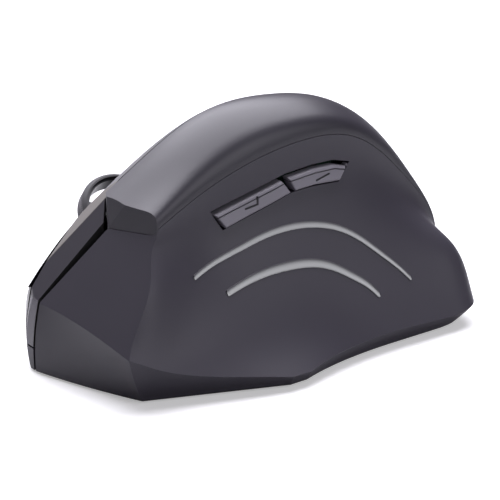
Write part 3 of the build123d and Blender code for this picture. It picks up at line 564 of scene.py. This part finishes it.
class MOUSE_OT_thumb_keys(bpy.types.Operator):
    """Finish the forward and back keys and the two inlaid strips"""

    bl_idname = "mouse.thumb_keys"
    bl_label = "Thumb keys"

    def execute(self, context):
        look = context.scene.mouse_finish
        key = self.key_material(look.key_colour)
        self.key("forward_button", "forward_key", key, top=((0.085, 1.0), (1.0, 0.458)),
                 bottom=((0.0, 0.57), (0.895, 0.0)), mark=((9.3, 42.0), (5.5, 42.6), (5.2, 44.4)))
        self.key("back_button", "back_key", key,
                 top=((0.0, 0.737), (0.239, 0.987), (0.577, 1.0), (1.0, 0.837)),
                 bottom=((0.0, 0.737), (0.193, 0.0), (0.609, 0.075), (0.925, 0.0)),
                 mark=((-14.5, 45.4), (-19.0, 46.4)))
        accent = self.accent_material(look.accent_colour, look.shell_colour)
        for node in ("upper_accent_strip", "lower_accent_strip"):
            self.strip(node, accent)
        return {"FINISHED"}

    def key(self, node, body, material, top, bottom, mark):
        """A key with rounded edges, a bevel along its top and an engraved mark. Its outline is given in
        shares of the node's box and its mark in millimetres."""
        face = NodeFace(node)
        top = self.outline(face, top, shift=-0.0006)
        bottom = self.outline(face, bottom, shift=0.0001)
        lengthwise, crosswise = 241, 73
        upper, lower = along_line(top, lengthwise), along_line(bottom, lengthwise)
        share = np.linspace(0.0, 1.0, crosswise)[None, :, None]
        grid = lower[:, None, :] * (1.0 - share) + upper[:, None, :] * share
        y, z = grid[..., 0], grid[..., 1]
        well_inside = (slice(20, -20, 10), slice(12, -12, 6))
        face.fit(y[well_inside], z[well_inside])
        to_top = line_distance(y, z, top) * metre
        to_edge = line_distance(y, z, top + bottom[::-1] + top[:1]) * metre
        to_mark = line_distance(y, z, [(my / metre, mz / metre) for my, mz in mark]) * metre
        rise, carved = self.key_relief(to_top, to_edge, to_mark)
        mesh = block_mesh(f"{body}_cap", face.raised(y, z, rise / metre), face.high.x, carved)
        piece = piece_from(mesh, f"{body}_cap", body, material)
        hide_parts(node)

    def outline(self, face, shares, shift):
        """Turns shares of the node's box into places in metres, drawn in so that the key moves freely."""
        trim_along, trim_up = 0.0013, 0.0006
        size = face.high - face.low
        shrink_y, shrink_z = 1.0 - trim_along / size.y, 1.0 - trim_up / size.z
        return [(face.middle.y + (y - 0.5) * size.y * shrink_y,
                 face.middle.z + (z - 0.5) * size.z * shrink_z + shift) for y, z in shares]

    def key_relief(self, to_top, to_edge, to_mark):
        """The key's height, sunk by its mark and groove, and the share of painted shade in the mark and
        groove, from the distances to its lines in millimetres.
        """
        low_rise, tilt = 0.05, 0.35
        bevel_width, bevel_depth = 0.9, 0.6
        groove_place, groove_half, groove_depth = 1.05, 0.22, 0.35
        groove_shade, groove_spread = 0.8, 1.3
        mark_half, mark_slope, mark_depth = 0.32, 0.1, 0.3
        edge_round = 0.45
        groove = np.abs(to_top - groove_place) / groove_half
        rise = low_rise + tilt * to_top / to_top.max()
        rise -= bevel_depth * ramp(1.0 - to_top / bevel_width)
        rise -= groove_depth * ramp(1.0 - groove)
        carved = ramp((mark_half - to_mark) / mark_slope)
        rise -= mark_depth * carved
        # The groove under the bevel also gets painted shade, which spreads a little past it.
        carved = np.maximum(carved, groove_shade * ramp(groove_spread - groove))
        near = np.clip(to_edge, 0.0, edge_round)
        rise -= edge_round - np.sqrt(edge_round ** 2 - (edge_round - near) ** 2)
        return rise, carved

    def strip(self, node, material):
        """An inlaid strip, proud along its crisp lower edge, that runs under the shell along its top."""
        end_margin, edge_margin, scan_step = 0.0002, 0.0001, 0.00005
        top_tuck = 0.00035
        fewest_hits, lengthwise, crosswise = 5, 260, 13
        face = NodeFace(node)
        rows = []
        for y in np.linspace(face.low.y + end_margin, face.high.y - end_margin, lengthwise):
            heights = [z for z in np.arange(face.low.z, face.high.z, scan_step)
                       if face.hit(y, z) is not None]
            if len(heights) > fewest_hits:
                rows.append((y, heights[0], heights[-1]))
        rows = np.array(rows)
        across = np.tile(np.linspace(0.0, 1.0, crosswise), (len(rows), 1))
        y = np.tile(rows[:, :1], (1, crosswise))
        z = rows[:, 1:2] + (rows[:, 2:3] - rows[:, 1:2] + top_tuck) * across
        x = np.array([[face.hit(py, min(max(pz, low + edge_margin), high - edge_margin)) or face.middle.x
                       for py, pz in zip(row_y, row_z)]
                      for row_y, row_z, low, high in zip(y, z, rows[:, 1], rows[:, 2])])
        rise = self.strip_relief(across) / metre * self.strip_ends(len(rows))[:, None]
        front = np.stack([x - rise, y, z], axis=-1)
        name = node.replace("accent", "light")
        mesh = block_mesh(name, front, face.high.x, across)
        piece = piece_from(mesh, name, "mouse_body", material)
        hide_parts(node)

    def strip_relief(self, across):
        """The strip's height in millimetres, from its lower edge at 0 across to its top at 1."""
        slope, sunk_top, edge_round, rounds_per_width = 0.32, 0.2, 0.12, 8.0
        return slope * (1.0 - across) - sunk_top - edge_round * ramp(1.0 - across * rounds_per_width)

    def strip_ends(self, count):
        """A share for each row that fades to 0 over the last few rows at both ends."""
        end_rows = 4.0
        rows = np.arange(count)
        return ramp(rows / end_rows) * ramp(rows[::-1] / end_rows)

    def key_material(self, colour):
        """Semi-gloss plastic, with painted shade down in the engraved mark and in the groove under the
        bevel.
        """
        drift_scale, darker, lighter = 60.0, 0.9, 1.1
        roughness, drift_gloss, carved_gloss = 0.4, 0.04, 0.2
        shader = Shader("button_satin")
        carved = shader.node("ShaderNodeAttribute", {"attribute_name": "shade"}).out("Fac")
        fine = shader.noise(fine_grain_scale, detail=3.0, roughness=0.6)
        broad = shader.noise(drift_scale)
        shade = shader.mix(broad, scaled(colour, darker), scaled(colour, lighter))
        # Painted shade in the engraved mark and groove.
        shade = shader.mix(carved, shade, painted_groove_shade)
        gloss = roughness + broad * drift_gloss + carved * carved_gloss
        return shader.surface(Base_Color=shade, Roughness=gloss, IOR=plastic_refraction,
                              Normal=shader.bump(fine, fine_grain_depth))

    def accent_material(self, colour, shell):
        """Grey that fades from a light lower edge to the shell's own colour at the top: painted shade over
        the strip's upper part.
        """
        fade = (0.35, 1.15)
        roughness, grain_tint, grain_gloss = 0.4, 0.05, 0.05
        shader = Shader("accent_grey")
        across = shader.node("ShaderNodeAttribute", {"attribute_name": "shade"}).out("Fac")
        fine = shader.noise(fine_grain_scale, detail=3.0)
        # Painted shade: the strip's upper part fades into the shell's colour, where shade falls in its
        # recess.
        shade = shader.mix((across + (fine - noise_middle) * grain_tint).smooth(*fade), colour, shell)
        return shader.surface(Base_Color=shade, Roughness=roughness + fine * grain_gloss,
                              IOR=plastic_refraction, Normal=shader.bump(fine, fine_grain_depth))


class MOUSE_OT_scroll_wheel(bpy.types.Operator):
    """Finish the scroll wheel and set the ribs round its tyre"""

    bl_idname = "mouse.scroll_wheel"
    bl_label = "Scroll wheel"

    def execute(self, context):
        look = context.scene.mouse_finish
        finish(rubber("tyre_rubber", tyre_black), "wheel_tyre")
        finish(moulded("hub_plastic", hub_grey, roughness=0.35), "wheel_hub")
        material = rubber("rib_rubber", rib_grey)
        low, high = (Vector(corner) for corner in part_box("wheel_tyre"))
        radius = (high.y - low.y) / 2
        mesh = self.rib_ring(look.rib_count, radius, material)
        axis = Vector((-cos(finger_slope), 0.0, sin(finger_slope)))
        turned = axis.to_track_quat("Z", "Y").to_matrix().to_4x4()
        mesh.transform(Matrix.Translation((low + high) / 2) @ turned)
        piece_from(mesh, "tyre_ribs", "scroll_wheel", material)
        return {"FINISHED"}

    def rib_ring(self, count, radius, material):
        """Ribs round the tyre, spread by Geometry Nodes and kept as a plain mesh."""
        tree = bpy.data.node_groups.new("tyre_ribs", "GeometryNodeTree")
        count_socket = tree.interface.new_socket("Count", in_out="INPUT", socket_type="NodeSocketInt")
        radius_socket = tree.interface.new_socket("Radius", in_out="INPUT", socket_type="NodeSocketFloat")
        tree.interface.new_socket("Geometry", in_out="OUTPUT", socket_type="NodeSocketGeometry")

        def node(kind, settings=None, values=None):
            made = tree.nodes.new(kind)
            for key, value in (settings or {}).items():
                setattr(made, key, value)
            for key, value in (values or {}).items():
                if isinstance(value, bpy.types.NodeSocket):
                    tree.links.new(value, made.inputs[key])
                else:
                    made.inputs[key].default_value = value
            return made

        given = node("NodeGroupInput")
        circle = node("GeometryNodeMeshCircle", {}, {
            "Vertices": given.outputs["Count"], "Radius": given.outputs["Radius"]})
        step = node("ShaderNodeMath", {"operation": "DIVIDE"}, {0: 2 * pi, 1: given.outputs["Count"]})
        angle = node("ShaderNodeMath", {"operation": "MULTIPLY"}, {
            0: node("GeometryNodeInputIndex").outputs["Index"], 1: step.outputs["Value"]})
        turn = node("ShaderNodeCombineXYZ", {}, {"Z": angle.outputs["Value"]})
        rib = node("GeometryNodeMeshCube", {}, {"Size": rib_size})
        ribs = node("GeometryNodeInstanceOnPoints", {}, {
            "Points": circle.outputs["Mesh"], "Instance": rib.outputs["Mesh"],
            "Rotation": turn.outputs["Vector"]})
        plain = node("GeometryNodeRealizeInstances", {}, {"Geometry": ribs.outputs["Instances"]})
        dressed = node("GeometryNodeSetMaterial", {}, {
            "Geometry": plain.outputs["Geometry"], "Material": material})
        node("NodeGroupOutput", {}, {"Geometry": dressed.outputs["Geometry"]})
        carrier = bpy.data.objects.new("tyre_ribs_source", bpy.data.meshes.new("tyre_ribs_source"))
        bpy.context.scene.collection.objects.link(carrier)
        modifier = carrier.modifiers.new("Ribs", "NODES")
        modifier.node_group = tree
        modifier[count_socket.identifier] = count
        modifier[radius_socket.identifier] = radius
        graph = bpy.context.evaluated_depsgraph_get()
        mesh = bpy.data.meshes.new_from_object(carrier.evaluated_get(graph), depsgraph=graph)
        bpy.data.objects.remove(carrier)
        bpy.data.node_groups.remove(tree)
        return mesh


class MOUSE_OT_inner_parts(bpy.types.Operator):
    """Finish the boards, switches, battery, sensor and fasteners"""

    bl_idname = "mouse.inner_parts"
    bl_label = "Inner parts"

    def execute(self, context):
        finish(circuit_board("board_mask", board_green), "finger_board", "thumb_board", "main_board")
        finish(moulded("switch_body", switch_black, roughness=0.5),
               "left_switch", "right_switch", "middle_switch", "dpi_switch", "forward_switch",
               "back_switch", "wheel_encoder", "power_switch")
        finish(moulded("frame_matte", frame_black, roughness=0.55),
               "wheel_carrier", "finger_bracket", "side_button_bracket")
        finish(moulded("chip_matte", chip_black, roughness=0.5, grain=0.0001),
               "optical_sensor", "controller_chip")
        finish(metal("screw_steel", steel_grey, roughness=0.28),
               "base_screws", "board_screws", "battery_contact", "battery_spring")
        finish(metal("plated_can", can_grey, roughness=0.22), "radio_module", "usb_receiver")
        finish(clear_lens("lens_clear"), "sensor_lens")
        finish(moulded("cell_sleeve", sleeve_blue, roughness=0.25, depth=0.000002), "battery_cell")
        finish(moulded("knob_plastic", knob_grey, roughness=0.45), "power_knob")
        finish(moulded("glide_slick", glide_black, roughness=0.3, depth=0.000003), "glide_feet")
        return {"FINISHED"}


class MOUSE_OT_stage(bpy.types.Operator):
    """Make the floor, the lamps, the room light and the camera"""

    bl_idname = "mouse.stage"
    bl_label = "Stage"

    # The floor's gap under the feet, and its colour to the eye and to bounced light. Its glow is even near
    # the object and grows between these two distances, so that the floor runs into the white background.
    floor_gap = 0.00005
    paper_colour = (0.8, 0.8, 0.8)
    bounce_colour = (0.16, 0.155, 0.17)
    near_glow, added_glow = 0.35, 0.75
    glow_reach = (0.18, 0.7)

    # The room's even light, and the white that stands behind the object.
    room_colour = (0.98, 0.93, 1.0)
    white = (1.0, 1.0, 1.0)

    def execute(self, context):
        stage = context.scene.mouse_stage
        self.make_floor(stage.floor_size)
        self.make_room(context.scene, stage.room_light)
        for name, place, width, power in lamps:
            self.lamp(name, place, width, getattr(stage, power))
        self.make_camera(context.scene)
        return {"FINISHED"}

    def make_floor(self, size):
        """A square floor, centred under the object."""
        half = size / 2
        mesh = bpy.data.meshes.new("floor")
        square = ((-half, -half), (half, -half), (half, half), (-half, half))
        mesh.from_pydata([(x, y, -self.floor_gap) for x, y in square], [], [(0, 1, 2, 3)])
        floor = bpy.data.objects.new("floor", mesh)
        bpy.context.scene.collection.objects.link(floor)
        mesh.materials.append(self.floor_material())

    def floor_material(self):
        """White paper that glows for the camera, and throws little light back at the object."""
        shader = Shader("floor_white")
        path = shader.node("ShaderNodeLightPath")
        shade = shader.mix(path.out("Is Diffuse Ray"), self.paper_colour, self.bounce_colour)
        paper = shader.node("ShaderNodeBsdfDiffuse", {}, {"Color": shade})
        settings = {"operation": "LENGTH"}
        away = shader.node("ShaderNodeVectorMath", settings, {0: shader.coordinates()}).out("Value")
        strength = self.near_glow + away.smooth(*self.glow_reach) * self.added_glow
        glow = shader.node("ShaderNodeEmission", {}, {"Color": rgba(self.white), "Strength": strength})
        both = shader.node("ShaderNodeAddShader", {}, {0: paper.out("BSDF"), 1: glow.out("Emission")})
        seen = path.out("Is Camera Ray") + path.out("Is Transmission Ray")
        values = {0: seen, 1: paper.out("BSDF"), 2: both.out("Shader")}
        mixed = shader.node("ShaderNodeMixShader", {}, values)
        shader.tree.links.new(mixed.node.outputs["Shader"], shader.output.inputs["Surface"])
        return shader.material

    def make_room(self, scene, strength):
        """Even light all round, behind a white that only the camera sees."""
        world = bpy.data.worlds.new("room")
        scene.world = world
        world.use_nodes = True
        tree = world.node_tree
        tree.nodes.clear()
        path = tree.nodes.new("ShaderNodeLightPath")
        room = tree.nodes.new("ShaderNodeBackground")
        room.inputs["Color"].default_value = rgba(self.room_colour)
        room.inputs["Strength"].default_value = strength
        white = tree.nodes.new("ShaderNodeBackground")
        white.inputs["Color"].default_value = rgba(self.white)
        white.inputs["Strength"].default_value = 1.0
        chosen = tree.nodes.new("ShaderNodeMixShader")
        output = tree.nodes.new("ShaderNodeOutputWorld")
        tree.links.new(path.outputs["Is Camera Ray"], chosen.inputs[0])
        tree.links.new(room.outputs[0], chosen.inputs[1])
        tree.links.new(white.outputs[0], chosen.inputs[2])
        tree.links.new(chosen.outputs[0], output.inputs["Surface"])

    def lamp(self, name, place, width, power):
        """A round softbox that faces the object."""
        light = bpy.data.lights.new(name, "AREA")
        light.shape = "DISK"
        light.size = width
        light.energy = power
        light.color = lamp_tint
        lamp = bpy.data.objects.new(name, light)
        bpy.context.scene.collection.objects.link(lamp)
        lamp.location = place
        lamp.rotation_mode = "QUATERNION"
        lamp.rotation_quaternion = (-Vector(place)).to_track_quat("-Z", "Y")

    def make_camera(self, scene):
        """The camera that took the photograph, as worked out from it."""
        data = bpy.data.cameras.new("camera")
        data.sensor_width = camera_sensor_width
        data.lens = camera_focal_pixels * data.sensor_width / photo_width_pixels
        data.clip_start, data.clip_end = camera_near, camera_far
        camera = bpy.data.objects.new("camera", data)
        scene.collection.objects.link(camera)
        a, e = camera_azimuth, camera_elevation
        back = Vector((sin(a) * cos(e), -cos(a) * cos(e), sin(e)))
        right = Vector((cos(a), sin(a), 0.0))
        up = back.cross(right)
        turned = Matrix((right, up, back)).transposed().to_4x4()
        camera.matrix_world = Matrix.Translation(camera_place) @ turned
        scene.camera = camera


operators = (MOUSE_OT_shells, MOUSE_OT_click_panels, MOUSE_OT_thumb_keys, MOUSE_OT_scroll_wheel,
             MOUSE_OT_inner_parts, MOUSE_OT_stage)


class MOUSE_PT_panel(bpy.types.Panel):
    """The mouse's pieces, in the order they are made"""

    bl_idname = "MOUSE_PT_panel"
    bl_label = "Vertical mouse"
    bl_space_type = "VIEW_3D"
    bl_region_type = "UI"
    bl_category = "Mouse"

    def draw(self, context):
        for group in (context.scene.mouse_finish, context.scene.mouse_stage):
            for name in group.__annotations__:
                self.layout.prop(group, name)
        for operator in operators:
            self.layout.operator(operator.bl_idname)


classes = (MouseFinish, MouseStage, *operators, MOUSE_PT_panel)


def register():
    for item in classes:
        bpy.utils.register_class(item)
    bpy.types.Scene.mouse_finish = bpy.props.PointerProperty(type=MouseFinish)
    bpy.types.Scene.mouse_stage = bpy.props.PointerProperty(type=MouseStage)


def unregister():
    del bpy.types.Scene.mouse_stage
    del bpy.types.Scene.mouse_finish
    for item in reversed(classes):
        bpy.utils.unregister_class(item)


def main():
    register()
    scene = bpy.context.scene
    scene.view_settings.view_transform = "Standard"
    for operator in operators:
        group, name = operator.bl_idname.split(".")
        getattr(getattr(bpy.ops, group), name)()


if __name__ == "__main__":
    main()
